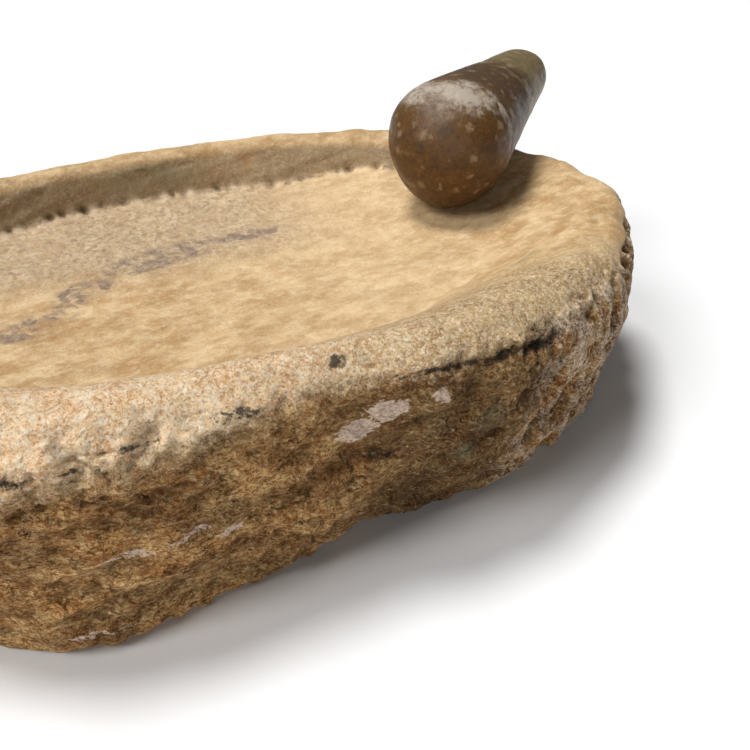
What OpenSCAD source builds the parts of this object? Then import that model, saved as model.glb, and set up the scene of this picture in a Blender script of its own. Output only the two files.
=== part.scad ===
// Stone mortar and pestle: a shallow oval basin hewn from one boulder, and a loose cobble pestle
// laid across its low lip.
// The basin stands on a flat dressed underside. +X runs along its length towards the low lip and
// +Y towards the steep wall of the bowl. The origin is on the ground, under the middle of the basin.

/* [Basin] */
// Length of the boulder along X
basin_length = 416; // [400:4:432]
// Width of the boulder along Y
basin_width = 270; // [260:2:280]
// Height of the rim above the ground
rim_height = 115; // [105:1:117]
// Depth of the bowl below the rim, at its middle
bowl_depth = 33; // [29:1:37]
// Height of the lumps that hewing left on the sides
hewn_depth = 2.2; // [0:0.1:3]

/* [Pestle] */
// Length of the pestle
pestle_length = 176; // [165:1:190]
// Diameter of the working end
pestle_diameter = 70; // [66:1:74]
// Diameter of the handle end
handle_diameter = 38; // [34:1:42]

/* [Pestle at rest] */
// Direction the handle points, in plan, from +X
rest_turn = 39; // [37:1:41]
// Slope of the pestle's underside, from the bowl up over the lip
rest_slope = 11.5; // [11.5:0.5:20]

/* [Fineness] */
// Facets round the basin
basin_sides = 112; // [64:8:120]
// Facets round the pestle
pestle_sides = 32; // [20:4:40]

/* [Hidden] */

// ---- Lists that go round the compass ----
// A list of n values gives one value each 360/n degrees, counted from +X towards +Y.

// Catmull-Rom curve from b to c, with a before and d after
function curve(a, b, c, d, t) =
    b + 0.5 * t * (c - a + t * (2 * a - 5 * b + 4 * c - d + t * (3 * (b - c) + d - a)));

// Value of a compass list at any angle
function around(list, angle) =
    let (n = len(list), place = (angle / 360 * n + n) % n, i = floor(place))
    curve(list[(i + n - 1) % n], list[i % n], list[(i + 1) % n], list[(i + 2) % n], place - i);

// ---- Plan of the boulder: a rounded oblong that swells here and there ----

SQUARENESS = 2.5;
SWELL = [7, 9, -2, -3, 1, -3, -4, -4, 0, 5, 10, 0, 0, 2, -7, -13];

function oblong(angle) =
    let (
        x = abs(cos(angle)) / (basin_length / 2),
        y = abs(sin(angle)) / (basin_width / 2)
    )
    pow(pow(x, SQUARENESS) + pow(y, SQUARENESS), -1 / SQUARENESS);

function outline(angle) = oblong(angle) + around(SWELL, angle);

// ---- Section of the boulder: rings of [insets from the outline, heights], each a compass list ----
// Heights are those of a boulder 115 high.

DRAWN_HEIGHT = 115;

UNDERSIDE = [[60, 60, 50, 60, 60, 60, 50, 60], [-4]];
BASE_EDGE = [[20, 20, 22, 24, 26, 24, 22, 20, 18, 15, 15, 20, 30, 34, 22, 16], [2, 1, 3, 1, 2, 1, 3, 2]];
LOW_SIDE = [[9, 9, 10, 12, 14, 12, 10, 9, 8, 5, 6, 12, 19, 23, 12, 8], [17, 16, 20, 18, 16, 18, 15, 17]];
MID_SIDE = [[7, 5, 4, 4, 4, 2, 6, 4], [52, 56, 55, 56, 54, 56, 52, 52]];
SHOULDER = [[1, 0, 0, 0, 0, 0, 0, 0], [84, 90, 92, 92, 88, 90, 92, 84]];
RIM_OUTER = [[5, 3, 3, 3, 5, 7, 5, 6], [97, 104, 108, 108, 104, 106, 107, 101]];
CROWN = [
    [16, 12, 9, 9, 9, 7, 7, 12, 18, 18, 18, 14, 13, 16, 20, 20],
    [104, 104, 112, 115, 115, 115, 115, 114, 113, 114, 114, 114, 114, 113, 110, 106]
];
RIM_INNER = [
    [46, 34, 22, 17, 18, 17, 18, 24, 36, 38, 37, 26, 22, 32, 38, 46],
    [101, 100, 109, 112, 112, 112, 112, 110, 108, 111, 112, 112, 112, 110, 107, 102]
];
BOWL_EDGE = [
    [84, 56, 34, 33, 27, 22, 28, 38, 62, 66, 62, 58, 58, 62, 70, 80],
    [91, 93, 94, 91, 91, 91, 92, 91, 89, 89, 89, 89, 89, 90, 90, 91]
];
UP_AND_OVER = [UNDERSIDE, BASE_EDGE, LOW_SIDE, MID_SIDE, SHOULDER, RIM_OUTER, CROWN, RIM_INNER];

// The middle of the underside before it is dressed flat
UNDERSIDE_MIDDLE = -6;
// Where the bowl's wall starts to turn into its floor, as a share of the wall
WALL_FOOT = 0.2;
// Width of that turn: a crease under the steep wall, a wide sweep elsewhere
BEND = [32, 20, 6, 4, 4, 4, 4, 10, 26, 34, 34, 34, 34, 34, 34, 36];
// Slope of the floor just inside the turn
BEND_SLOPE = 0.1;
// The floor half-way in: its distance out, and its height, as shares of the turn's
HALF_WAY = [0.5, 0.25];
// Facets along the section from one ring to the next
RING_STEPS = 3;

function ring_point(ring, angle) =
    [outline(angle) - around(ring[0], angle), around(ring[1], angle) * rim_height / DRAWN_HEIGHT];

// Section at one angle, from the middle of the underside, up over the rim, to the middle of the floor
function section(angle) =
    let (
        rings = [for (ring = UP_AND_OVER) ring_point(ring, angle)],
        rim = rings[len(rings) - 1],
        edge = ring_point(BOWL_EDGE, angle),
        foot = edge + WALL_FOOT * (rim - edge),
        turned = edge - around(BEND, angle) * [1, BEND_SLOPE],
        floor_z = rim_height - bowl_depth,
        half_way = [HALF_WAY[0] * edge[0], floor_z + HALF_WAY[1] * (edge[1] - floor_z)]
    )
    concat([[0, UNDERSIDE_MIDDLE]], rings, [foot, edge, turned, half_way, [0, floor_z]]);

function mirrored(p) = [-p[0], p[1]];

// The section as a smooth curve through its points, without the two points on the axis
function smooth_section(angle) =
    let (s = section(angle), last = len(s) - 1)
    [
        for (i = [0 : last - 1], k = [0 : RING_STEPS - 1])
            if (i + k > 0)
                let (
                    before = i == 0 ? mirrored(s[1]) : s[i - 1],
                    after = i == last - 1 ? mirrored(s[i]) : s[i + 2]
                )
                curve(before, s[i], s[i + 1], after, k / RING_STEPS)
    ];

// ---- Lumps left by hewing: crossing waves, full on the sides and fading out towards the rim ----

// Each wave is [lumps round the boulder, degrees it leans for each mm up, share of hewn_depth, start]
HEWN_WAVES = [[4, 3.4, 0.5, 0], [10, 1.2, 0.5, 0], [13, -3.1, 0.6, 40]];
// The share of the section, from the middle of the underside, that the lumps lie on
HEWN_PART = 0.55;

function total(list) = list * [for (value = list) 1];

function lumps(angle, z) =
    total([for (wave = HEWN_WAVES) wave[2] * sin(wave[0] * angle + wave[1] * z + wave[3])]);

// How much of the lumps shows at a share of the way along the section
function hewn(share) = share < HEWN_PART ? sin(180 * share / HEWN_PART) : 0;

function basin_points() =
    let (
        turns = [for (j = [0 : basin_sides - 1]) 360 * j / basin_sides],
        sections = [for (angle = turns) smooth_section(angle)],
        rows = len(sections[0])
    )
    concat(
        [[0, 0, UNDERSIDE_MIDDLE]],
        [
            for (i = [0 : rows - 1], j = [0 : basin_sides - 1])
                let (
                    p = sections[j][i],
                    r = p[0] + hewn_depth * hewn(i / rows) * lumps(turns[j], p[1])
                )
                [r * cos(turns[j]), r * sin(turns[j]), p[1]]
        ],
        [[0, 0, rim_height - bowl_depth]]
    );

// Faces of a closed skin made of a first point, rings of the same count, and a last point
function skin_faces(rows, sides) =
    let (last = rows * sides + 1)
    concat(
        [for (j = [0 : sides - 1]) [0, 1 + j, 1 + (j + 1) % sides]],
        [
            for (i = [0 : rows - 2], j = [0 : sides - 1])
                let (a = 1 + i * sides + j, b = 1 + i * sides + (j + 1) % sides)
                each [[a, a + sides, b], [b, a + sides, b + sides]]
        ],
        [for (j = [0 : sides - 1]) [last, last - sides + (j + 1) % sides, last - sides + j]]
    );

// How far below the ground the boulder is cut away
WASTE = 20;

// The boulder with its bowl, cut off flat on the ground
module basin() {
    points = basin_points();
    rows = (len(points) - 2) / basin_sides;
    color("burlywood")
        difference() {
            polyhedron(points, skin_faces(rows, basin_sides), convexity = 6);
            translate([-basin_length, -basin_width, -WASTE])
                cube([2 * basin_length, 2 * basin_width, WASTE]);
        }
}

// ---- Pestle: a round working end and a smaller round handle end, joined by a straight taper ----

// How far the cobble is out of round, as a share of its radius, and the corners that gives it
OUT_OF_ROUND = 0.03;
CORNERS = 3;
// Facets along each round end, and along the taper
END_STEPS = 9;
TAPER_STEPS = 6;

working_r = pestle_diameter / 2;
handle_r = handle_diameter / 2;
ends_apart = pestle_length - working_r - handle_r;
taper = asin((working_r - handle_r) / ends_apart);

// Where the working end touches the bowl, beside the low lip: its bearing, inset and height
SEAT_BEARING = 14;
SEAT_INSET = 92;
SEAT_HEIGHT = 91.3;

seat_r = outline(SEAT_BEARING) - SEAT_INSET;
seat_z = SEAT_HEIGHT * rim_height / DRAWN_HEIGHT;
rest = [seat_r * cos(SEAT_BEARING), seat_r * sin(SEAT_BEARING), seat_z + working_r];
rest_rise = rest_slope - taper;

// [distance from the middle of the working end, radius], tip to tip but without the tips
function pestle_profile() =
    let (
        direction = [sin(taper), cos(taper)],
        start = working_r * direction,
        end = [ends_apart, 0] + handle_r * direction
    )
    concat(
        [for (i = [1 : END_STEPS]) let (a = 180 - (90 + taper) * i / END_STEPS) working_r * [cos(a), sin(a)]],
        [for (i = [1 : TAPER_STEPS - 1]) start + (end - start) * i / TAPER_STEPS],
        [
            for (i = [END_STEPS : -1 : 1])
                let (a = (90 - taper) * i / END_STEPS)
                [ends_apart, 0] + handle_r * [cos(a), sin(a)]
        ]
    );

function pestle_points() =
    concat(
        [[0, 0, -working_r]],
        [
            for (p = pestle_profile(), j = [0 : pestle_sides - 1])
                let (angle = 360 * j / pestle_sides, r = p[1] * (1 + OUT_OF_ROUND * cos(CORNERS * angle)))
                [r * cos(angle), r * sin(angle), p[0]]
        ],
        [[0, 0, ends_apart + handle_r]]
    );

// The cobble, lying across the low lip
module pestle() {
    points = pestle_points();
    rows = (len(points) - 2) / pestle_sides;
    color("rosybrown")
        translate(rest)
            rotate([0, 90 - rest_rise, rest_turn])
                polyhedron(points, skin_faces(rows, pestle_sides), convexity = 2);
}

basin();
pestle();
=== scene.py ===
"""A hewn stone basin with a cobble pestle laid across its low lip, in a plain light studio.

Both stones are grown from their CAD solids: remeshed finely, smoothed, then weather-worn, chipped
and pitted vertex by vertex. What the weathering does is also kept as colours on the mesh, so that
the stone's colour and roughness follow its shape, and painted shade darkens the basin's hollows.

Lengths are in metres, and MM turns millimetres into them. Relief and the textures' sizes are in
millimetres. Bearings are in degrees about the basin's middle, from +X towards +Y.
"""
import math

import bpy
import numpy as np
from mathutils import Euler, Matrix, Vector, noise


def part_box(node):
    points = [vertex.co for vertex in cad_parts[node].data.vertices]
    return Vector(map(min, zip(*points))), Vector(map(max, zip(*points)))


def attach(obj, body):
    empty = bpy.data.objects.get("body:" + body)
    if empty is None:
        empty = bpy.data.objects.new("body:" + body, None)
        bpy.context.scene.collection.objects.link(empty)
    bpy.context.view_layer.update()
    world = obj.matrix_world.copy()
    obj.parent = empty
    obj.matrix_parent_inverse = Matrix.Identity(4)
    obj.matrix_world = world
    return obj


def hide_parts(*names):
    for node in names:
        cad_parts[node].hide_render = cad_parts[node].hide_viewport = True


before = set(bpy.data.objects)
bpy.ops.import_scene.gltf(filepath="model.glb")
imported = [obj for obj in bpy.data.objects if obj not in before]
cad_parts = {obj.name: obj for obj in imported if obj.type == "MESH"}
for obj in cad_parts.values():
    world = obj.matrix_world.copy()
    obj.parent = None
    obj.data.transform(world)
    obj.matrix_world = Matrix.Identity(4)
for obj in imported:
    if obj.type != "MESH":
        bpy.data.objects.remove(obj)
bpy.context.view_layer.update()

MM = 0.001
BASIN, PESTLE = "basin", "pestle"

# The basin's top, and its front and top to the nearest millimetre, to place its marks from
basin_low, basin_high = (Vector(corner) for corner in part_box(BASIN))
TOP_Z = basin_high.z
FRONT_MM, TOP_MM = round(basin_low.y / MM), round(TOP_Z / MM)


# ---------------------------------------------------------------- shapes: arrays over the vertices

def step(value, low, high):
    """0 below low, 1 above high, smooth between. low may be the greater."""
    t = np.clip((value - low) / (high - low), 0.0, 1.0)
    return t * t * (3 - 2 * t)


def bump(value, centre, width):
    """1 at the centre, falling smoothly to about a third at that width."""
    return np.exp(-((value - centre) / width) ** 2)


def strongest(*masks):
    return np.maximum.reduce(masks)


def lumps(points, size, seed, octaves=3, stretch=(1, 1, 1)):
    """Fractal noise of about -1 to 1, in lumps of that size, longer along a stretched axis."""
    scaled = points / (size * np.array(stretch)) + 31.7 * seed
    return np.array([noise.fractal(Vector(p), 1.0, 2.0, octaves) for p in scaled.tolist()])


def cells(points, size, seed, stretch=(1, 1, 1)):
    """Distance to the nearest and second nearest seed of a cellular pattern, in cells."""
    scaled = points / (size * np.array(stretch)) + 17.3 * seed
    found = [noise.voronoi(Vector(p))[0] for p in scaled.tolist()]
    return np.array([f[0] for f in found]), np.array([f[1] for f in found])


def veins(points, size, seed, width, stretch=(1, 1, 1)):
    """1 along thin wandering lines where a noise crosses zero, 0 elsewhere."""
    return 1 - step(np.abs(lumps(points, size, seed, 4, stretch)), 0, width)


def blob(points, centre, radii, turn=0.0):
    """1 in the middle of an ellipsoid, falling smoothly to 0 at its edge. turn is about Z."""
    x, y, z = (points - np.array(centre)).T
    c, s = math.cos(turn), math.sin(turn)
    reach = np.sqrt(
        ((x * c + y * s) / radii[0]) ** 2 + ((y * c - x * s) / radii[1]) ** 2 + (z / radii[2]) ** 2
    )
    return 1 - step(reach, 0.35, 1.0)


# ---------------------------------------------------------------- meshes

def grown_from(node, name, voxel, smoothing):
    """A fine even mesh of a CAD node's solid with its facets smoothed away, as a new object."""
    piece = bpy.data.objects.new(name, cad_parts[node].data.copy())
    bpy.context.collection.objects.link(piece)
    piece.matrix_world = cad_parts[node].matrix_world
    remesh = piece.modifiers.new("fine", "REMESH")
    remesh.mode = "VOXEL"
    remesh.voxel_size = voxel
    smooth = piece.modifiers.new("smooth", "SMOOTH")
    smooth.factor = 0.5
    smooth.iterations = smoothing
    bpy.context.view_layer.update()
    depsgraph = bpy.context.evaluated_depsgraph_get()
    fine = bpy.data.meshes.new_from_object(piece.evaluated_get(depsgraph))
    piece.modifiers.clear()
    piece.data = fine
    fine.name = name
    fine.materials.clear()
    fine.polygons.foreach_set("use_smooth", [True] * len(fine.polygons))
    return piece


def positions(mesh):
    found = np.empty(len(mesh.vertices) * 3)
    mesh.vertices.foreach_get("co", found)
    return found.reshape(-1, 3)


def normals(mesh):
    found = np.empty(len(mesh.vertices) * 3)
    mesh.vertex_normals.foreach_get("vector", found)
    return found.reshape(-1, 3)


def move(mesh, points):
    mesh.vertices.foreach_set("co", points.ravel())
    mesh.update()


def blurred(mesh, values, rounds):
    """values averaged with their neighbours along the mesh's edges, that many times over."""
    ends = np.empty(len(mesh.edges) * 2, dtype=int)
    mesh.edges.foreach_get("vertices", ends)
    first, second = ends[::2], ends[1::2]
    count = len(values)
    share = np.bincount(first, minlength=count) + np.bincount(second, minlength=count) + 1
    for _ in range(rounds):
        at_first = np.bincount(first, values[second], count)
        at_second = np.bincount(second, values[first], count)
        values = (values + (at_first + at_second)) / share
    return values


def paint(mesh, name, red, green, blue):
    """Keeps three masks of 0 to 1 on the vertices, for the material to read by name."""
    colours = np.ones((len(mesh.vertices), 4))
    colours[:, :3] = np.clip(np.stack([red, green, blue], axis=1), 0, 1)
    layer = mesh.attributes.new(name, "FLOAT_COLOR", "POINT")
    layer.data.foreach_set("color", colours.ravel())


# ---------------------------------------------------------------- the basin: what lies where

SECTORS = 180               # the rim is measured in this many sectors
SECTOR_BLUR = 9             # and evened out over this many
WALL_DEPTH = 12 * MM        # the foot of the bowl's wall lies at least this far below the crown
NEARLY_FLAT = 0.88          # and the surface there faces up at least this much
CENTRE_REACH = 40 * MM      # the middle of the bowl, where the floor's height is read


class Zones:
    """Where on the basin each vertex lies, as distances in metres and masks of 0 to 1.

    The crown is the highest point of the rim at each bearing. The foot is where the bowl's wall
    meets its floor: the furthest point out, well below the crown, where the bowl lies nearly flat.
    """

    def __init__(self, points, facing):
        x, y, z = points.T
        up = facing[:, 2]
        self.bearing = np.arctan2(y, x)
        self.degrees = np.degrees(self.bearing)
        self.out = np.hypot(x, y)
        crown_out, crown_z, self.foot_out, self.foot_z = self.rings(z, up)
        floor_z = z[(self.out < CENTRE_REACH) & (up > 0)].min()
        beyond = self.out - crown_out
        self.below = crown_z - z

        # Inside and outside the crown, and the surfaces on each side of it
        above_floor = step(z, floor_z - 6 * MM, floor_z - 2 * MM) * step(up, -0.15, 0.05)
        self.inside = (1 - step(beyond, -6 * MM, 0)) * above_floor
        outside = np.maximum(step(beyond, -2 * MM, 3 * MM), 1 - above_floor)
        self.side = outside * step(self.below, 3 * MM, 12 * MM)
        self.wall = self.inside * step(up, 0.92, 0.6) * step(self.below, 3 * MM, 7 * MM)
        self.floor = self.inside * step(self.below, 12 * MM, 18 * MM) * (1 - self.wall)
        self.rim = (1 - self.inside) * (1 - self.side)
        self.ground = 1 - step(z, 0.2 * MM, 3 * MM)
        self.underside = (up < -0.9) & (z < 1 * MM)

        # The rim's worn stone, which reaches further down the side at the left
        left = step(self.degrees, -98, -130)
        rough_from, rough_by = (3 + 3 * left) * MM, (20 + 16 * left) * MM
        self.worn = 1 - outside * step(self.below, rough_from, rough_by)

        # Front, back and right end
        self.back = step(y, 10 * MM, 50 * MM)
        self.front = step(y, -60 * MM, -105 * MM)
        self.right_rim = step(self.degrees, -50, -25) * step(self.degrees, 80, 60)
        right = step(self.degrees, -66, -48) * step(self.degrees, 45, 15)
        self.right_end = right * outside * step(self.below, 7 * MM, 11 * MM)

    def rings(self, z, up):
        """Each vertex's crown distance out, crown height, foot distance out and foot height."""
        turn = (self.bearing + math.pi) / (2 * math.pi)
        sector = (turn * SECTORS).astype(int) % SECTORS
        rings = np.zeros((4, SECTORS))
        for s in range(SECTORS):
            here = np.flatnonzero(sector == s)
            crown = here[np.argmax(z[here])]
            within = (self.out[here] < self.out[crown]) & (z[here] < z[crown] - WALL_DEPTH)
            low = here[within & (up[here] > NEARLY_FLAT)]
            foot = low[np.argmax(self.out[low])] if len(low) else crown
            rings[:, s] = self.out[crown], z[crown], self.out[foot], z[foot]
        kernel = np.hanning(SECTOR_BLUR) / np.hanning(SECTOR_BLUR).sum()
        lap = SECTOR_BLUR - 1
        wrapped = np.concatenate([rings[:, -lap:], rings, rings[:, :lap]], axis=1)
        self.middles = (np.arange(SECTORS) + 0.5) / SECTORS * 2 * math.pi - math.pi
        self.evened = [np.convolve(ring, kernel, "same")[lap:-lap] for ring in wrapped]
        return [self.at(self.bearing, ring) for ring in range(4)]

    def at(self, bearing, ring):
        """One of the four rings at a bearing in radians, in the order that rings() gives them."""
        return np.interp(bearing, self.middles, self.evened[ring], period=2 * math.pi)


def front_blob(points, along, inset, under, radii, turn=0.0):
    """A blob so far along X, in from the basin's front and under its top, in millimetres."""
    return blob(points / MM, (along, FRONT_MM + inset, TOP_MM - under), radii, turn)


def bowl_blob(points, along, across, under, radii, turn=0.0):
    """A blob so far along X and Y from the basin's middle and under its top, in millimetres."""
    return blob(points / MM, (along, across, TOP_MM - under), radii, turn)


# ---------------------------------------------------------------- the basin: its relief

BASIN_VOXEL = 1.5 * MM
BASIN_SMOOTHING = 23
BEDDING_TILT = 9                    # the stone's layers dip by this many degrees about Y
PITS_FROM, PITS_TO = 30, 172        # bearings between which the wall's foot was picked out
SEAM_FROM, SEAM_TO = -90, -56       # bearings between which a seam shows under the rim

# Heights and depths in millimetres
SWELL_HEIGHT, KNOB_HEIGHT, LEDGE_HEIGHT, ROUGH_HEIGHT = 2.2, 2.4, 1.4, 1.6
CRACK_DEPTH, HOLLOW_DEPTH = 2.0, 4.0
GOUGE_DEPTH, RIDGE_HEIGHT = 9.0, 1.0
RIM_HEIGHT, BULGE_HEIGHT, FINE_HEIGHT = 0.9, 2.4, 0.3
NICK_DEPTH, SEAM_DEPTH = 1.5, 1.2
WORN_HEIGHT, STRATA_HEIGHT, CRUMB_HEIGHT, PIT_DEPTH = 0.5, 0.6, 0.9, 2.6


def chisel_pits(points, zones):
    """Pick marks in a ragged row along the foot of the steep wall: (pits, crumbs between them)."""
    rng = np.random.default_rng(4)
    pits, crumbs = np.zeros(len(points)), np.zeros(len(points))
    bearing = PITS_FROM
    while bearing < PITS_TO:
        for marks, lift, deepest in ((pits, 1.5, 1.0), (crumbs, -0.5, 0.8)):
            turn = math.radians(bearing + rng.uniform(-1, 1))
            out = zones.at(turn, 2) + rng.uniform(-2.5, 1.0) * MM
            mark_z = zones.at(turn, 3) + lift * MM
            centre = (out * math.cos(turn), out * math.sin(turn), mark_z)
            radius = rng.uniform(1.6, 4.2) * MM
            near = np.linalg.norm(points - centre, axis=1) < 3 * radius
            apart = (points[near] - centre) / (radius * np.array([1, 1, rng.uniform(0.6, 1.1)]))
            mark = np.exp(-(apart ** 2).sum(axis=1)) * rng.uniform(0.2, deepest)
            marks[near] = np.maximum(marks[near], mark)
            bearing += rng.uniform(0.5, 3.2)
    return pits * zones.inside, crumbs * zones.inside


def rim_seam(points, zones):
    """A dark seam under the rim in front, which sinks and widens towards the right."""
    share = np.clip((zones.degrees - SEAM_FROM) / (SEAM_TO - SEAM_FROM), 0, 1)
    seam_z = (TOP_MM - 11 - 8 * share) * MM
    width = (0.8 + 2.6 * share) * MM
    wobble = 1.6 * MM * lumps(points, 9 * MM, 30)
    starts = step(zones.degrees, SEAM_FROM, SEAM_FROM + 4)
    ends = step(zones.degrees, SEAM_TO + 4, SEAM_TO - 2)
    return bump(points[:, 2] + wobble, seam_z, width) * starts * ends * (1 - zones.inside)


class Weathering:
    """How far each vertex of the basin stands proud, in millimetres, and the masks to go with it."""

    def __init__(self, mesh):
        self.points, self.facing = positions(mesh), normals(mesh)
        self.zones = Zones(self.points, self.facing)
        tilt = np.array(Euler((0, math.radians(BEDDING_TILT), 0)).to_matrix())
        self.bedding = self.points @ tilt.T
        self.knobs = lumps(self.points, 15 * MM, 3, 2)
        self.rough = lumps(self.points, 7 * MM, 4, 5)
        self.pits, self.crumbs = chisel_pits(self.points, self.zones)
        self.seam = rim_seam(self.points, self.zones)
        parts = (self.side(), self.front_hollows(), self.right_end(), self.rim(), self.bowl())
        self.relief = sum(parts) * (1 - self.zones.ground)
        self.relief[self.zones.underside] = 0

    def side(self):
        """Broad swells, knobs, ledges along the bedding, and cracks. The right end has few."""
        swells = lumps(self.points, 38 * MM, 1)
        ledges = lumps(self.bedding, 9 * MM, 2, 3, (4, 4, 1))
        patchy = step(lumps(self.points, 40 * MM, 6), -0.2, 0.3)
        cracks = veins(self.bedding, 24 * MM, 5, 0.04, (2.2, 2.2, 0.8)) * patchy
        relief = SWELL_HEIGHT * swells + KNOB_HEIGHT * self.knobs + LEDGE_HEIGHT * ledges
        relief += ROUGH_HEIGHT * self.rough * (0.5 + patchy) - CRACK_DEPTH * cracks
        return self.zones.side * (1 - 0.75 * self.zones.right_end) * relief

    def front_hollows(self):
        """Three broad hollows under the rim, in front."""
        hollows = strongest(
            front_blob(self.points, -50, 6, 25, (26, 24, 14)),
            0.8 * front_blob(self.points, 4, 3, 45, (28, 24, 9)),
            0.7 * front_blob(self.points, 78, 13, 38, (24, 24, 12), 0.2),
        )
        return -HOLLOW_DEPTH * hollows * (0.7 + 0.3 * self.knobs)

    def right_end(self):
        """Tall gouges with ridges left standing between them. Also keeps both as masks."""
        right_end = self.zones.right_end
        pushed = self.points + 5 * MM * lumps(self.points, 18 * MM, 31)[:, None]
        near, second = cells(pushed, 16 * MM, 32, (1, 1, 3))
        gouges = step(second - near, 0.03, 0.5)
        under_rim = bump(self.zones.below, 17 * MM, 9 * MM)
        scattered = step(lumps(self.points, 18 * MM, 36), -0.1, 0.3)
        # Painted shade: gouges under the rim and in patches, to be darkened
        self.shaded_gouges = gouges * np.maximum(under_rim, scattered) * right_end
        self.ridges = right_end * (1 - step(second - near, 0.0, 0.14))
        return right_end * (RIDGE_HEIGHT - GOUGE_DEPTH * gouges)

    def rim(self):
        """A finely pecked top, lumpy at the right, with nicks along its edge, also kept as a mask."""
        outer = 1 - self.zones.inside
        chipped = step(lumps(self.points, 13 * MM, 8), 0.25, 0.6) * (1 - self.zones.right_rim)
        self.nicks = outer * bump(self.zones.below, 9 * MM, 6 * MM) * chipped
        low_lumps = lumps(self.points, 20 * MM, 9, 2)
        top = self.zones.rim * (RIM_HEIGHT * low_lumps + FINE_HEIGHT * self.rough)
        bulges = self.zones.right_rim * outer * lumps(self.points, 30 * MM, 35, 2)
        chips = NICK_DEPTH * self.nicks + SEAM_DEPTH * self.seam
        return top + BULGE_HEIGHT * bulges - chips

    def bowl(self):
        """Worn nearly smooth. Pitted under the steep wall, and pecked in a patch kept as a mask."""
        pecks = lumps(self.points, 6 * MM, 11, 4)
        hollows = lumps(self.points, 36 * MM, 10)
        strata = lumps(self.bedding, 6 * MM, 12, 3, (7, 7, 1))
        fades = step(self.points[:, 0], 75 * MM, 0)
        self.pecked = self.zones.floor * self.zones.back * fades
        relief = self.zones.inside * (WORN_HEIGHT * hollows + 0.08 * pecks)
        relief += FINE_HEIGHT * self.pecked * pecks
        relief += self.zones.wall * (STRATA_HEIGHT * strata + FINE_HEIGHT * self.rough)
        return relief + CRUMB_HEIGHT * self.crumbs - PIT_DEPTH * self.pits


def weather_basin(mesh):
    """Moves the vertices, none of them into the ground, then paints the masks for the material."""
    made = Weathering(mesh)
    points, zones, relief = made.points, made.zones, made.relief
    moved = points + made.facing * (relief * MM)[:, None]
    moved[:, 2] = np.maximum(moved[:, 2], 0)
    move(mesh, moved)

    # Painted shade where the surface lies lower than what is around it, near by and further off
    near, around = blurred(mesh, relief, 12), blurred(mesh, relief, 120)
    low = 0.5 * (near - relief) + 0.45 * (around - relief)
    # Painted shade in the crease along the back wall's foot, broken up by a noise
    corner = bump(zones.out, zones.foot_out, 4 * MM) * bump(points[:, 2], zones.foot_z, 4 * MM)
    corner *= zones.inside * zones.back * step(lumps(points, 12 * MM, 34), -0.25, 0.2)

    # Painted shade in front, freshly ground towards the right, and cream towards the left
    weathered = bump(zones.degrees, -76, 26)
    fresh = zones.floor * step(points[:, 0], -60 * MM, 60 * MM)
    left = step(points[:, 0], 70 * MM, -70 * MM)

    # The second mask, how low each place lies, is for painted shade in hollows
    paint(mesh, "place", 1 - zones.worn, 0.5 + 0.5 * low, zones.wall)
    paint(mesh, "bowl", made.pits, made.crumbs, made.pecked)
    paint(mesh, "growth", zones.right_end, made.ridges, zones.floor)
    # All three masks here are painted shade: the front, the back wall's foot and the deep gouges
    paint(mesh, "painted_shade", weathered, corner, made.shaded_gouges)
    paint(mesh, "wear", zones.front, fresh, left)
    mark_basin(mesh, made)


def mark_basin(mesh, made):
    """Natural markings where the stone shows them: dark minerals, pale scars, stains and tints. And
    painted shadow.
    """
    points, zones = made.points, made.zones
    minerals = strongest(
        made.seam,
        front_blob(points, -13, 12, 5, (7, 7, 3.5)),
        0.8 * front_blob(points, -53, 6, 12, (15, 8, 3.5)),
        0.85 * front_blob(points, -128, 12, 19, (18, 12, 2.2)),
        0.8 * front_blob(points, -104, 10, 18, (13, 12, 1.8)),
        0.8 * front_blob(points, -84, 9, 15, (12, 12, 1.8)),
        0.9 * front_blob(points, 1, 6, 49, (9, 9, 5)),
        0.7 * front_blob(points, 20, 6, 46, (6, 9, 3)),
        0.7 * front_blob(points, 41, 50, 4, (7, 4, 3)),
    )
    scars = strongest(
        front_blob(points, -8, 3, 33, (13, 10, 6)),
        front_blob(points, 4, 3, 26, (12, 10, 7)),
        0.7 * front_blob(points, 24, 0, 23, (6, 9, 5)),
        0.65 * front_blob(points, -97, 6, 61, (18, 10, 2.6), 0.05),
        0.7 * front_blob(points, -74, 6, 58, (14, 10, 2.6)),
        0.75 * front_blob(points, -59, 9, 64, (8, 10, 4)),
        0.65 * front_blob(points, -114, 11, 101, (24, 12, 2.6)),
    )
    stains = strongest(
        0.9 * bowl_blob(points, -44, 43, 31, (46, 15, 30), 0.25),
        0.6 * bowl_blob(points, 5, 51, 32, (36, 9, 30)),
        0.9 * bowl_blob(points, -86, 20, 30, (22, 13, 30), 0.5),
        0.7 * bowl_blob(points, -108, -4, 30, (34, 13, 30), 0.6),
    )
    rust = strongest(
        bowl_blob(points, 10, 114, 12, (34, 14, 12)),
        0.7 * bowl_blob(points, -90, -5, 32, (40, 30, 30)),
    )
    green = strongest(
        front_blob(points, 48, 2, 44, (9, 9, 11)),
        front_blob(points, 38, 4, 58, (9, 9, 7)),
        front_blob(points, 71, 54, 14, (22, 2, 9), 0.27),
        front_blob(points, 104, 67, 14, (24, 2, 9), 0.5),
        bowl_blob(points, -35, 112, 13, (46, 14, 12)),
    )
    # Painted shadow: a dark line on the back wall under the rim's top; painted shade in the nicks
    shadow_line = zones.wall * bump(zones.below, 7 * MM, 2.5 * MM) * step(zones.degrees, 70, 95)
    shadow_line *= step(lumps(points, 14 * MM, 33), -0.2, 0.3)
    painted_shadow = strongest(0.55 * shadow_line, 0.5 * made.nicks)
    paint(mesh, "marks", minerals, scars, stains)
    paint(mesh, "tints", rust, green, painted_shadow)


basin = grown_from(BASIN, "basin_stone", BASIN_VOXEL, BASIN_SMOOTHING)
weather_basin(basin.data)


# ---------------------------------------------------------------- the pestle

PESTLE_VOXEL = 1.2 * MM
PESTLE_SMOOTHING = 20


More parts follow.
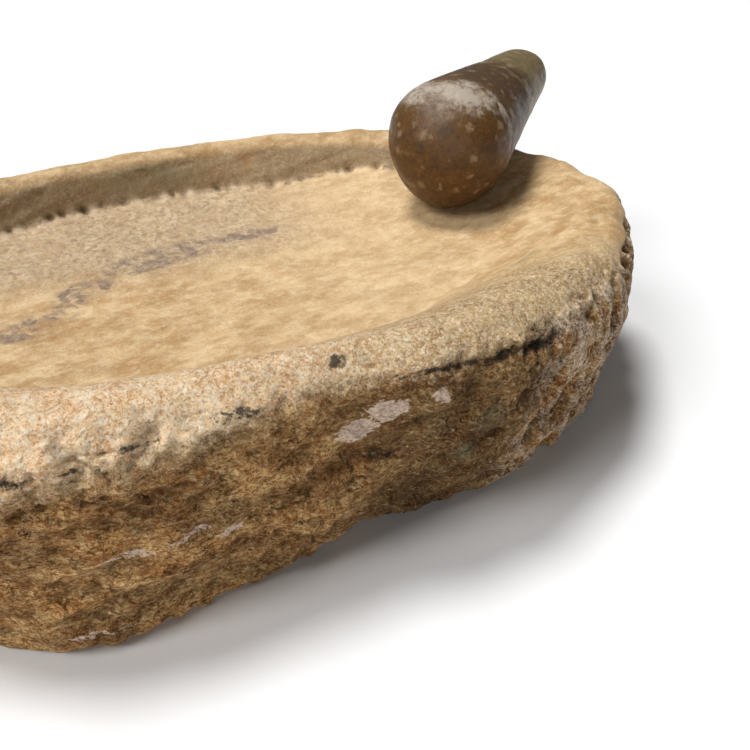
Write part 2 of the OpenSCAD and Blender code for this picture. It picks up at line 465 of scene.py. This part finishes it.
def weather_pestle(mesh):
    """A river cobble: a few flats and dents under a fine worn skin, with chalk on its big end."""
    points, facing = positions(mesh), normals(mesh)
    centre = points.mean(axis=0)
    axis = np.linalg.svd(points - centre, full_matrices=False)[2][0]
    axis *= np.sign(axis[0])
    along = (points - centre) @ axis
    from_big_end = along - along.min()
    radius = np.linalg.norm(points - centre - along[:, None] * axis, axis=1).max()

    # Left smooth low down, where it rests on the basin
    flats = lumps(points, 52 * MM, 21, 2)
    dents = lumps(points, 14 * MM, 22, 3)
    fine = lumps(points, 4 * MM, 23, 3)
    pecks = 1 - step(cells(points, 9 * MM, 24)[0], 0.08, 0.3)
    lowest = points[:, 2].min()
    clear = step(points[:, 2], lowest + 2 * MM, lowest + 12 * MM)
    relief = (0.8 * flats + 0.35 * dents + 0.07 * fine - 0.22 * pecks) * clear
    move(mesh, points + facing * (relief * MM)[:, None])

    # Chalk: an arc round the big end and a cap on it; a painted reflection streaks the right flank
    upward = facing[:, 2]
    rightward = facing @ np.cross(axis, (0, 0, 1))
    edge = radius + 4 * MM * lumps(points, 18 * MM, 25)
    arc = bump(from_big_end, edge, 3.5 * MM) * step(upward, -0.5, 0.1) * step(rightward, -0.6, 0.2)
    cap = bump(from_big_end, 0.72 * edge, 14 * MM) * step(upward, 0.45, 0.9)
    reflection_streak = bump(upward, -0.25, 0.3) * step(rightward, 0.3, 0.8)
    reflection_streak *= step(from_big_end, 0.4 * radius, 1.6 * radius)
    chalk = strongest(0.75 * arc, cap, 0.8 * reflection_streak)
    # The third mask, how far each place faces up, is for a painted highlight on top
    paint(mesh, "skin", chalk, from_big_end / from_big_end.max(), 0.5 + 0.5 * upward)


pestle = grown_from(PESTLE, "pestle_cobble", PESTLE_VOXEL, PESTLE_SMOOTHING)
weather_pestle(pestle.data)


# ---------------------------------------------------------------- materials: shared calls

class Stone:
    """A procedural material on one Principled shader, with short calls for the nodes it uses."""

    def __init__(self, name):
        self.material = bpy.data.materials.new(name)
        self.material.use_nodes = True
        self.tree = self.material.node_tree
        self.shader = self.tree.nodes["Principled BSDF"]
        place = self.add("ShaderNodeTexCoord").outputs["Object"]
        to_mm = self.add("ShaderNodeVectorMath", operation="SCALE")
        self.join(place, to_mm.inputs[0])
        to_mm.inputs["Scale"].default_value = 1 / MM
        self.mm = to_mm.outputs[0]

    def add(self, kind, **settings):
        made = self.tree.nodes.new(kind)
        for key, value in settings.items():
            setattr(made, key, value)
        return made

    def join(self, source, socket):
        """Puts a node's output, a number or a colour into a socket."""
        if isinstance(source, bpy.types.NodeSocket):
            self.tree.links.new(source, socket)
        elif isinstance(source, tuple) and len(source) == 3 and socket.type == "RGBA":
            socket.default_value = (*source, 1)
        else:
            socket.default_value = source

    def channels(self, colour):
        parts = self.add("ShaderNodeSeparateColor")
        self.join(colour, parts.inputs[0])
        return tuple(parts.outputs)

    def masks(self, name):
        """The three masks that paint() kept under that name."""
        return self.channels(self.add("ShaderNodeAttribute", attribute_name=name).outputs["Color"])

    # Coordinates for the textures, in millimetres

    def stretched(self, lengths, turn=(0, 0, 0)):
        """A noise laid on these is drawn out to these lengths, along axes turned by these degrees."""
        made = self.add("ShaderNodeMapping", vector_type="TEXTURE")
        self.join(self.mm, made.inputs["Vector"])
        made.inputs["Scale"].default_value = lengths
        made.inputs["Rotation"].default_value = [math.radians(a) for a in turn]
        return made.outputs[0]

    def warped(self, where, size, amount):
        """Pushed about by a noise of that size, so that what is laid on them has ragged edges."""
        push = self.add("ShaderNodeTexNoise")
        self.join(where, push.inputs["Vector"])
        push.inputs["Scale"].default_value = 1 / size
        centred = self.add("ShaderNodeVectorMath", operation="SUBTRACT")
        self.join(push.outputs["Color"], centred.inputs[0])
        centred.inputs[1].default_value = (0.5, 0.5, 0.5)
        made = self.add("ShaderNodeVectorMath", operation="MULTIPLY_ADD")
        self.join(centred.outputs[0], made.inputs[0])
        made.inputs[1].default_value = (amount, amount, amount)
        self.join(where, made.inputs[2])
        return made.outputs[0]

    # Textures

    def noise(self, size, detail=4, roughness=0.55, where=None, distortion=0.0, seed=0.0):
        made = self.add("ShaderNodeTexNoise", noise_dimensions="4D")
        self.join(self.mm if where is None else where, made.inputs["Vector"])
        made.inputs["W"].default_value = seed
        made.inputs["Scale"].default_value = 1 / size
        made.inputs["Detail"].default_value = detail
        made.inputs["Roughness"].default_value = roughness
        made.inputs["Distortion"].default_value = distortion
        return made.outputs[0]

    def grains(self, size, where, detail=0.0):
        """Grains of stone. Color is random for each one, and Distance grows from its middle."""
        made = self.add("ShaderNodeTexVoronoi")
        self.join(where, made.inputs["Vector"])
        made.inputs["Scale"].default_value = 1 / size
        made.inputs["Detail"].default_value = detail
        return made.outputs

    # Arithmetic

    def math(self, operation, a, b=0.0):
        made = self.add("ShaderNodeMath", operation=operation)
        self.join(a, made.inputs[0])
        self.join(b, made.inputs[1])
        return made.outputs[0]

    def plus(self, a, b):
        return self.math("ADD", a, b)

    def minus(self, a, b):
        return self.math("SUBTRACT", a, b)

    def times(self, a, b):
        return self.math("MULTIPLY", a, b)

    def greater(self, a, b):
        return self.math("MAXIMUM", a, b)

    def lesser(self, a, b):
        return self.math("MINIMUM", a, b)

    def span(self, value, low, high, bottom=0.0, top=1.0, curve="SMOOTHSTEP"):
        """value from low..high to bottom..top, easing in and out, and held at the ends."""
        made = self.add("ShaderNodeMapRange", interpolation_type=curve)
        for socket, source in zip(made.inputs, (value, low, high, bottom, top)):
            self.join(source, socket)
        return made.outputs[0]

    def ramp(self, value, low, high, bottom, top):
        """value from low..high to bottom..top in a straight line, and held at the ends."""
        return self.span(value, low, high, bottom, top, "LINEAR")

    def off_middle(self, value):
        """How far a noise is from its middle value, which it crosses along thin wandering lines."""
        return self.math("ABSOLUTE", self.minus(value, 0.5))

    # Colour and relief

    def mix(self, share, a, b, blend="MIX"):
        made = self.add("ShaderNodeMix", data_type="RGBA", blend_type=blend)
        for socket, source in ((made.inputs[0], share), (made.inputs[6], a), (made.inputs[7], b)):
            self.join(source, socket)
        return made.outputs[2]

    def shade(self, colour, amount):
        """colour made lighter or darker by a grey of about 1."""
        grey = self.add("ShaderNodeCombineColor")
        for socket in grey.inputs[:3]:
            self.join(amount, socket)
        return self.mix(1.0, colour, grey.outputs[0], "MULTIPLY")

    def raised(self, height, depth_mm, normal=None):
        """The surface's normal with that height added to it, over any normal given."""
        made = self.add("ShaderNodeBump")
        self.join(height, made.inputs["Height"])
        made.inputs["Distance"].default_value = depth_mm * MM
        if normal is not None:
            self.join(normal, made.inputs["Normal"])
        return made.outputs[0]

    def finish(self, colour, roughness, normal, specular):
        self.join(colour, self.shader.inputs["Base Color"])
        self.join(roughness, self.shader.inputs["Roughness"])
        self.join(normal, self.shader.inputs["Normal"])
        self.join(specular, self.shader.inputs["Specular IOR Level"])
        return self.material


# ---------------------------------------------------------------- materials: the basin's stone

# Pairs run from the darker clouds of a surface to the lighter ones
CREAM = (0.82, 0.52, 0.26), (1.0, 0.73, 0.43)
PEACH = (0.86, 0.46, 0.19)
IVORY = (1.0, 0.84, 0.6)
GOLD = (0.44, 0.285, 0.125), (0.68, 0.48, 0.24)
LIGHT_GOLD = (0.8, 0.6, 0.35)
TAN = (0.46, 0.28, 0.12), (0.72, 0.51, 0.275)
WORN_BROWN = (0.5, 0.285, 0.115)
FRESH_TAN = (0.82, 0.62, 0.37)
FEATHERS = (0.46, 0.29, 0.13), (0.86, 0.68, 0.43)
PECKED = (0.31, 0.21, 0.12), (0.68, 0.53, 0.35)
PECKED_BROWN = (0.42, 0.29, 0.17)
ROUGH = (0.54, 0.285, 0.1), (0.98, 0.66, 0.29)
OCHRE = (0.84, 0.42, 0.125)
HONEY = (1.0, 0.75, 0.4)
# Painted shade for the bowl's steep inner wall
SHADED_WALL = (0.27, 0.195, 0.11)
SUNKEN = (0.36, 0.2, 0.1)
RIM_CRYSTAL, LEFT_CRYSTAL, SIDE_CRYSTAL = (0.95, 0.75, 0.48), (1.0, 0.88, 0.68), (1.0, 0.68, 0.36)
CLEAR_GRAIN, RUSTY_GRAIN, DARK_GRAIN = (0.96, 0.82, 0.64), (0.45, 0.17, 0.05), (0.2, 0.1, 0.04)
RUST = (0.42, 0.2, 0.07)
GREEN = (0.3, 0.29, 0.18)
# Dark brown for dirty wisps, and painted shade in the hollows
DARK_DIRT_AND_SHADE = (0.09, 0.046, 0.016)
# Painted shadow, for the pits, the nicks, the wall's foot and under the back rim
SHADOW_BROWN = (0.1, 0.056, 0.025)
CRUMB = (0.74, 0.6, 0.42)
# Painted shade in the right end's deep gouges
GOUGE_SHADE = (0.07, 0.038, 0.015)
THREAD = (1.0, 0.84, 0.66)
HAIRLINE = (0.05, 0.03, 0.014)
MINERAL = (0.035, 0.028, 0.018)
SCAR = (0.52, 0.37, 0.28), (0.95, 0.74, 0.58)
STAIN = (0.17, 0.125, 0.1), (0.36, 0.26, 0.19)


class BasinStone(Stone):
    """The basin's stone, laid on in layers that follow the masks painted on its mesh."""

    def __init__(self):
        super().__init__("basin_stone")
        # low and wall here also set painted shade, in hollows and on the bowl's steep wall
        self.side, self.low, self.wall = self.masks("place")
        self.pits, self.crumbs, self.pecked = self.masks("bowl")
        self.right_end, self.ridges, self.floor = self.masks("growth")
        # Painted shade: the darker front, the back wall's foot and the deep gouges
        self.weathered, self.corner, self.gouges = self.masks("painted_shade")
        self.front, self.fresh, self.left = self.masks("wear")
        self.minerals, self.scars, self.stains = self.masks("marks")
        # The third of these is painted shadow
        self.rust, self.green, self.painted_shadow = self.masks("tints")

        self.bedding = self.stretched((2.2, 2.2, 1), (0, BEDDING_TILT, 0))
        self.leafy = self.warped(self.stretched((1.5, 1.5, 1), (0, BEDDING_TILT, 0)), 4, 2.4)
        self.streaky = self.stretched((1.5, 1, 1), (0, 0, 12))
        self.patches = self.noise(14, 5, 0.6, seed=2)
        self.mottle = self.noise(3.2, 5, 0.65, seed=4)
        self.speck = self.noise(0.4, 1, 0.6, seed=6)
        self.fibres = self.noise(1.3, 5, 0.72, self.leafy, 0.3, seed=8)
        self.wisps = self.noise(4.0, 6, 0.7, self.leafy, 0.5, seed=12)
        flakes = self.grains(3.6, self.warped(self.leafy, 3, 3.5), 1.5)
        self.flakes = self.span(flakes["Distance"], 0.15, 0.75, 1, 0)
        self.wispy = self.ramp(self.wisps, 0.3, 0.7, -0.5, 0.5)
        self.torn = self.plus(self.wispy, self.ramp(self.fibres, 0.3, 0.7, -0.35, 0.35))

        # Rough on the side, sugary on the rim in front, and worn smooth elsewhere
        mottled_edge = self.plus(self.side, self.span(self.mottle, 0.3, 0.7, -0.3, 0.3))
        self.ragged = self.span(mottled_edge, 0.2, 0.9)
        self.sugary = self.times(self.front, self.minus(1.0, self.greater(self.floor, self.wall)))
        self.open_grain = self.ramp(self.greater(self.sugary, self.ragged), 0, 1, 0.2, 1.0)

    def rim_colour(self):
        """The rim's top: golden, and cream with peach patches towards the left."""
        clouds = self.span(self.noise(12, 4, 0.55, seed=18), 0.38, 0.62)
        cream = self.mix(clouds, *CREAM)
        cream = self.mix(self.span(self.patches, 0.48, 0.64, 0, 0.6), cream, PEACH)
        cream = self.mix(self.span(self.mottle, 0.5, 0.66, 0, 0.6), cream, IVORY)
        golden = self.mix(clouds, *GOLD)
        golden = self.mix(self.span(self.mottle, 0.46, 0.64, 0, 0.5), golden, LIGHT_GOLD)
        return self.mix(self.left, golden, cream)

    def bowl_colour(self):
        """The bowl: tan, worn in streaks, and greyer where it is pecked."""
        clouds = self.noise(12, 4, 0.55, self.stretched((1.7, 1, 1), (0, 0, 12)), 0.3, seed=20)
        colour = self.mix(self.span(clouds, 0.34, 0.66), *TAN)
        colour = self.mix(self.span(self.patches, 0.48, 0.66, 0, 0.6), colour, WORN_BROWN)
        colour = self.mix(self.times(self.fresh, 0.35), colour, FRESH_TAN)
        feathers = self.noise(4.5, 4, 0.6, self.warped(self.streaky, 12, 6), seed=28)
        colour = self.mix(self.span(feathers, 0.46, 0.68, 0, 0.45), colour, FEATHERS[1])
        colour = self.mix(self.span(feathers, 0.5, 0.34, 0, 0.25), colour, FEATHERS[0])
        blotches = self.noise(3.0, 5, 0.72, seed=22)
        greyer = self.mix(self.span(blotches, 0.34, 0.66), *PECKED)
        greyer = self.mix(self.span(self.patches, 0.4, 0.6, 0, 0.45), greyer, PECKED_BROWN)
        share = self.times(self.pecked, self.span(self.mottle, 0.35, 0.6, 0.5, 0.95))
        return self.mix(share, colour, greyer)

    def side_colour(self):
        """The side: golden brown, clouded along the bedding, with ochre patches."""
        clouds = self.noise(12, 5, 0.6, self.bedding, 0.3, seed=10)
        swirls = self.noise(24, 3, 0.5, self.bedding, 0.8, seed=24)
        colour = self.mix(self.span(clouds, 0.36, 0.64), *ROUGH)
        colour = self.mix(self.span(self.patches, 0.5, 0.66, 0, 0.45), colour, OCHRE)
        colour = self.mix(self.span(self.mottle, 0.46, 0.68, 0, 0.5), colour, HONEY)
        return self.shade(colour, self.span(swirls, 0.38, 0.62, 0.66, 1.24))

    def base(self):
        """The three colours together, with painted shade on the bowl's steep wall and on the front.
        """
        worn = self.mix(self.sugary, self.bowl_colour(), self.rim_colour())
        colour = self.mix(self.ragged, worn, self.side_colour())
        # Painted shade: the bowl's steep wall darkened
        colour = self.mix(self.times(self.wall, 0.8), colour, SHADED_WALL)
        # Painted shade: the front of the rough side darkened
        darkened = self.times(self.times(self.weathered, self.ragged), 0.62)
        return self.shade(colour, self.minus(1.0, darkened))

    def with_grain(self, colour):
        """Fibres and flakes: strong on the rim and side, rubbed away in the bowl."""
        coarse = self.ramp(self.fibres, 0.36, 0.62, -1.0, 1.0)
        fine = self.ramp(self.speck, 0.3, 0.7, -0.5, 0.5)
        flaky = self.times(self.ragged, self.ramp(self.flakes, 0, 1, -0.85, 0.6))
        grain = self.plus(self.times(self.plus(coarse, fine), self.open_grain), flaky)
        sunk = self.times(self.lesser(grain, 0.0), self.ramp(self.ragged, 0, 1, 0.36, 0.55))
        deeper = self.mix(1.0, colour, SUNKEN, "MULTIPLY")
        colour = self.mix(self.times(sunk, -1.25), colour, deeper)
        proud = self.times(self.greater(grain, 0.0), self.ramp(self.ragged, 0, 1, 0.8, 0.6))
        crystal = self.mix(self.left, RIM_CRYSTAL, LEFT_CRYSTAL)
        return self.mix(proud, colour, self.mix(self.ragged, crystal, SIDE_CRYSTAL))

    def with_crystals(self, colour):
        """Single grains: clear ones on the sugary rim, and a few rusty and dark ones."""
        clear, rusty, dark = self.channels(self.grains(0.7, self.warped(self.mm, 1, 1))["Color"])
        shown = self.times(self.span(clear, 0.72, 0.9, 0, 0.5), self.open_grain)
        shown = self.times(shown, self.minus(self.sugary, self.times(self.ragged, 0.9)))
        colour = self.mix(shown, colour, CLEAR_GRAIN)
        shown = self.times(self.span(rusty, 0.94, 0.97, 0, 0.5), self.open_grain)
        colour = self.mix(shown, colour, RUSTY_GRAIN)
        shown = self.times(self.span(dark, 0.93, 0.97, 0, 0.4), self.open_grain)
        return self.mix(shown, colour, DARK_GRAIN)

    def with_dirt_and_shade(self, colour):
        """Rust and green tints, dirty wisps, and painted shade in low places, pits, creases and
        nicks.
        """
        tint = self.times(self.rust, self.span(self.patches, 0.4, 0.62, 0, 0.4))
        colour = self.mix(tint, colour, RUST)
        tint = self.times(self.green, self.span(self.patches, 0.35, 0.6, 0.1, 0.4))
        colour = self.mix(tint, colour, GREEN)
        # Dirty wisps, together with painted shade where the surface lies low
        dirt_and_shade = self.span(self.plus(self.low, self.times(self.wispy, 0.9)), 0.5, 1.25, 0, 0.6)
        dirt_and_shade = self.times(dirt_and_shade, self.ramp(self.ragged, 0, 1, 0.2, 1.0))
        colour = self.mix(dirt_and_shade, colour, DARK_DIRT_AND_SHADE)
        # Painted shade in the pits and nicks, along the wall's foot and in a line under the back rim
        shadowed = self.greater(self.greater(self.pits, self.painted_shadow), self.times(self.corner, 0.6))
        shadowed = self.plus(shadowed, self.times(self.wispy, 0.5))
        colour = self.mix(self.span(shadowed, 0.3, 0.8, 0, 0.75), colour, SHADOW_BROWN)
        return self.mix(self.times(self.crumbs, 0.6), colour, CRUMB)

    def with_threads(self, colour):
        """The right end: gouges in painted shade, with pale threads of harder stone between them."""
        # Painted shade in the deep gouges
        colour = self.mix(self.span(self.gouges, 0.3, 0.9, 0, 0.85), colour, GOUGE_SHADE)
        strands = self.noise(6, 3, 0.6, self.warped(self.stretched((1, 1, 4.5)), 12, 10), seed=30)
        threads = self.minus(1.0, self.span(self.off_middle(strands), 0, 0.03))
        self.threads = self.greater(self.times(threads, self.right_end), self.ridges)
        share = self.times(self.threads, self.span(self.fibres, 0.38, 0.62, 0.1, 0.95))
        return self.mix(share, colour, THREAD)

    def with_cracks(self, colour):
        """Hairline cracks in the rough side."""
        seams = self.noise(10, 5, 0.6, self.warped(self.leafy, 20, 10), seed=16)
        lines = self.times(self.span(self.off_middle(seams), 0, 0.014, 1, 0), self.ragged)
        self.cracks = self.times(lines, self.span(self.patches, 0.42, 0.55))
        return self.mix(self.times(self.cracks, 0.8), colour, HAIRLINE)

    def with_marks(self, colour):
        """Minerals, scars and stains, torn at the edges."""
        broken = self.plus(self.times(self.minerals, 0.8), self.times(self.torn, 1.2))
        near = self.span(self.minerals, 0.02, 0.25)
        colour = self.mix(self.times(self.span(broken, 0.42, 0.8, 0, 0.9), near), colour, MINERAL)
        broken = self.plus(self.scars, self.torn)
        near = self.span(self.scars, 0.02, 0.2)
        scar = self.mix(self.span(self.fibres, 0.35, 0.6), *SCAR)
        colour = self.mix(self.times(self.span(broken, 0.42, 0.54, 0, 0.92), near), colour, scar)
        blotches = self.noise(7, 5, 0.65, self.warped(self.mm, 12, 8), seed=26)
        near = self.span(self.stains, 0.05, 0.6)
        stain = self.mix(self.span(self.mottle, 0.4, 0.6), *STAIN)
        return self.mix(self.times(self.span(blotches, 0.44, 0.58, 0.1, 0.85), near), colour, stain)

    def fine_relief(self):
        """Relief too fine for the mesh, stronger on the rough side."""
        share = self.times(self.ramp(self.ragged, 0, 1, 0.6, 1.0), self.open_grain)
        pitting = self.noise(0.9, 4, 0.7, self.warped(self.mm, 3, 1.5), seed=14)
        normal = self.raised(self.times(pitting, share), 0.8)
        normal = self.raised(self.times(self.fibres, share), 1.6, normal)
        normal = self.raised(self.times(self.wisps, share), 3.0, normal)
        normal = self.raised(self.times(self.flakes, self.ragged), 1.0, normal)
        normal = self.raised(self.times(self.mottle, 0.5), 1.2, normal)
        return self.raised(self.minus(self.threads, self.cracks), 0.6, normal)

    def build(self):
        colour = self.with_crystals(self.with_grain(self.base()))
        colour = self.with_threads(self.with_dirt_and_shade(colour))
        colour = self.with_marks(self.with_cracks(colour))
        dull = self.ramp(self.ragged, 0, 1, 0.6, 0.85)
        roughness = self.plus(dull, self.span(self.speck, 0.3, 0.7, -0.12, 0.08))
        specular = self.ramp(self.ragged, 0, 1, 0.25, 0.1)
        return self.finish(colour, roughness, self.fine_relief(), specular)


# ---------------------------------------------------------------- materials: the pestle's stone

BIG_END, NECK, THIN_END = (0.1, 0.046, 0.012), (0.068, 0.031, 0.011), (0.2, 0.148, 0.068)
DARK_PATCH, LIGHT_PATCH = (0.05, 0.027, 0.012), (0.2, 0.125, 0.06)
# A painted highlight for where the pestle faces up
PAINTED_HIGHLIGHT = (0.22, 0.17, 0.11)
PALE_SPECK = (0.46, 0.33, 0.2)
# Chalk, and also a painted reflection along the right flank
PALE_CHALK_AND_REFLECTION = (0.6, 0.52, 0.43)
SPECK_SIZE = 6.5


class PestleStone(Stone):
    """A brown cobble, smooth with a low sheen, with pale specks, dried chalk and a painted
    reflection.
    """

    def __init__(self):
        super().__init__("pestle_stone")
        self.chalk, self.along, self.up = self.masks("skin")
        self.patches = self.noise(7, 5, 0.65, seed=3)
        self.mottle = self.noise(2.0, 5, 0.7, seed=5)

    def base(self):
        """Brown at the big end, darker at the neck, olive towards the thin end."""
        broad = self.noise(18, 4, 0.6)
        wavering = self.plus(self.along, self.span(broad, 0.3, 0.7, -0.15, 0.15))
        colour = self.mix(self.span(wavering, 0.15, 0.4), BIG_END, NECK)
        colour = self.mix(self.span(wavering, 0.5, 0.66), colour, THIN_END)
        colour = self.mix(self.span(self.patches, 0.48, 0.66, 0, 0.7), colour, DARK_PATCH)
        colour = self.mix(self.span(self.patches, 0.45, 0.3, 0, 0.5), colour, LIGHT_PATCH)
        colour = self.shade(colour, self.ramp(self.mottle, 0.3, 0.7, 0.7, 1.35))
        # Painted highlight: lighter where the cobble faces up
        return self.mix(self.span(self.up, 0.7, 1.0, 0, 0.2), colour, PAINTED_HIGHLIGHT)

    def with_specks(self, colour):
        """Pale mineral specks, here and there and of several sizes."""
        ragged = self.warped(self.warped(self.mm, 3, 4), 1.2, 1.6)
        specks = self.grains(SPECK_SIZE, ragged)
        shown, smallness, _ = self.channels(specks["Color"])
        reach = self.times(self.ramp(smallness, 0, 1, 0.6, 1.6), specks["Distance"])
        share = self.times(self.span(reach, 0.1, 0.42, 1, 0), self.span(shown, 0.2, 0.6))
        return self.mix(self.times(share, 0.38), colour, PALE_SPECK)

    def chalky(self):
        """How much chalk and painted reflection there is. It has worn through in places."""
        uneven = self.plus(self.patches, self.times(self.mottle, 0.6))
        worn_through = self.span(uneven, 0.6, 1.0, -0.45, 0.35)
        share = self.span(self.plus(self.chalk, worn_through), 0.15, 1.1, 0, 0.6)
        return self.times(share, self.span(self.chalk, 0.05, 0.5))

    def build(self):
        chalky = self.chalky()
        # Chalk, and the painted reflection streak, in one pale colour
        colour = self.mix(chalky, self.with_specks(self.base()), PALE_CHALK_AND_REFLECTION)
        normal = self.raised(self.mottle, 0.3)
        normal = self.raised(self.noise(0.6, 3, 0.7, seed=7), 0.08, normal)
        roughness = self.span(self.patches, 0.3, 0.7, 0.34, 0.52)
        roughness = self.plus(roughness, self.times(chalky, 0.35))
        return self.finish(colour, roughness, normal, 0.3)


basin.data.materials.append(BasinStone().build())
pestle.data.materials.append(PestleStone().build())

for piece, body, slot in ((basin, BASIN, "basin_stone"), (pestle, PESTLE, "pestle_stone")):
    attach(piece, body)
    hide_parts(body)


# ---------------------------------------------------------------- studio

FLOOR_HALF = 6.0
FLOOR_COLOUR = (0.9, 0.9, 0.9, 1)
FLOOR_ROUGHNESS = 0.9
WORLD_STRENGTH = 0.04


def stage():
    """A plain pale floor, wide enough to fill every view."""
    signs = ((-1, -1), (1, -1), (1, 1), (-1, 1))
    mesh = bpy.data.meshes.new("floor")
    mesh.from_pydata([(x * FLOOR_HALF, y * FLOOR_HALF, 0) for x, y in signs], [], [(0, 1, 2, 3)])
    floor = bpy.data.objects.new("floor", mesh)
    bpy.context.collection.objects.link(floor)
    pale = bpy.data.materials.new("floor")
    pale.use_nodes = True
    shader = pale.node_tree.nodes["Principled BSDF"]
    shader.inputs["Base Color"].default_value = FLOOR_COLOUR
    shader.inputs["Roughness"].default_value = FLOOR_ROUGHNESS
    mesh.materials.append(pale)


def sun(name, bearing, height, softness, strength):
    """Even light from far away. Its height above the ground and its softness are in degrees."""
    data = bpy.data.lights.new(name, "SUN")
    data.angle = math.radians(softness)
    data.energy = strength
    made = bpy.data.objects.new(name, data)
    made.rotation_euler = (math.radians(90 - height), 0, math.radians(bearing + 90))
    bpy.context.collection.objects.link(made)


def studio():
    stage()
    sun("key", bearing=136, height=72, softness=18, strength=2.45)
    sun("fill", bearing=192, height=45, softness=24, strength=1.5)
    sun("reflector", bearing=240, height=12, softness=40, strength=0.8)
    world = bpy.data.worlds.new("studio")
    bpy.context.scene.world = world
    world.use_nodes = True
    background = world.node_tree.nodes["Background"]
    background.inputs["Color"].default_value = (1, 1, 1, 1)
    background.inputs["Strength"].default_value = WORLD_STRENGTH
    bpy.context.scene.view_settings.view_transform = "Standard"


CAMERA_TURN = 25                # degrees that the camera looks to the right of +Y
CAMERA_DROP = 35                # degrees that it looks down
CAMERA_LEFT = 92.4 * MM         # to the left of the basin's middle
CAMERA_AHEAD = 190.6 * MM       # in front of the basin
CAMERA_ABOVE = 142 * MM         # above its top
CAMERA_LENS = 35.5
SENSOR_WIDTH = 36


def camera():
    """Close in front of the basin, to its left, looking down across it towards the low lip."""
    data = bpy.data.cameras.new("camera")
    data.sensor_width = SENSOR_WIDTH
    data.lens = CAMERA_LENS
    made = bpy.data.objects.new("camera", data)
    made.location = (-CAMERA_LEFT, FRONT_MM * MM - CAMERA_AHEAD, TOP_Z + CAMERA_ABOVE)
    made.rotation_euler = Euler((math.radians(90 - CAMERA_DROP), 0, math.radians(-CAMERA_TURN)))
    bpy.context.collection.objects.link(made)
    bpy.context.scene.camera = made


studio()
camera()
